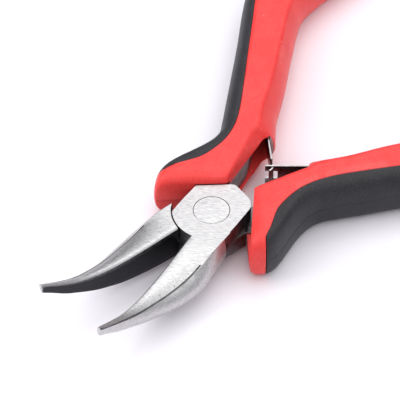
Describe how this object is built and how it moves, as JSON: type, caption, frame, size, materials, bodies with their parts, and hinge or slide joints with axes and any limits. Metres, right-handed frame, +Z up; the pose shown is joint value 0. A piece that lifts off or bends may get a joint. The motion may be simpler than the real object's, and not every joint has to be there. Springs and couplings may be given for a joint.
{
  "type": "bent nose jewellery pliers",
  "caption": "Short bent nose pliers with a flush riveted lap joint, slim upturned jaws, hooked leaf springs and moulded two-tone hand grips.",
  "frame": {"origin": "middle of the underside of the whole tool as it lies flat on a table with its springs holding it open", "axes": "+Y from the pivot towards the handle ends, +Z up along the pivot axis, +X across the handles to the lower half's handle"},
  "size_m": [0.081, 0.1248, 0.0137],
  "materials": {
    "brushed_steel": "fine ground lines",
    "spring_steel": "bright rolled strip",
    "red_moulding": "fine grained satin",
    "black_soft_grip": "fine grained matt"
  },
  "bodies": {
    "upper_half": {"upper_lever": "brushed_steel", "left_grip_shell": "red_moulding", "left_grip_pad": "black_soft_grip", "pivot_rivet": "brushed_steel"},
    "lower_half": {"lower_lever": "brushed_steel", "right_grip_shell": "red_moulding", "right_grip_pad": "black_soft_grip"},
    "tee_leaf": {"tee_leaf_spring": "spring_steel", "tee_spring_rivet": "spring_steel"},
    "forked_leaf": {"forked_leaf_spring": "spring_steel", "forked_spring_rivet": "spring_steel"}
  },
  "joints": [
    {"name": "pivot", "type": "hinge", "parent": "upper_half", "child": "lower_half", "pos_m": [0, -0.0253, 0.0055], "axis": [0, 0, 1], "range_deg": [0, 21], "stiffness_Nm_per_rad": 1.1},
    {"name": "tee_leaf_flex", "type": "hinge", "parent": "upper_half", "child": "tee_leaf", "pos_m": [-0.01192, 0.0028, 0.0055], "axis": [0, 0, 1], "range_deg": [-12.6, 0]},
    {"name": "forked_leaf_flex", "type": "hinge", "parent": "lower_half", "child": "forked_leaf", "pos_m": [0.01192, 0.0028, 0.0055], "axis": [0, 0, 1], "range_deg": [0, 12.6]}
  ],
  "couplings": [
    {"joint": "tee_leaf_flex", "follows": "pivot", "ratio": -0.595},
    {"joint": "forked_leaf_flex", "follows": "pivot", "ratio": 0.595}
  ]
}
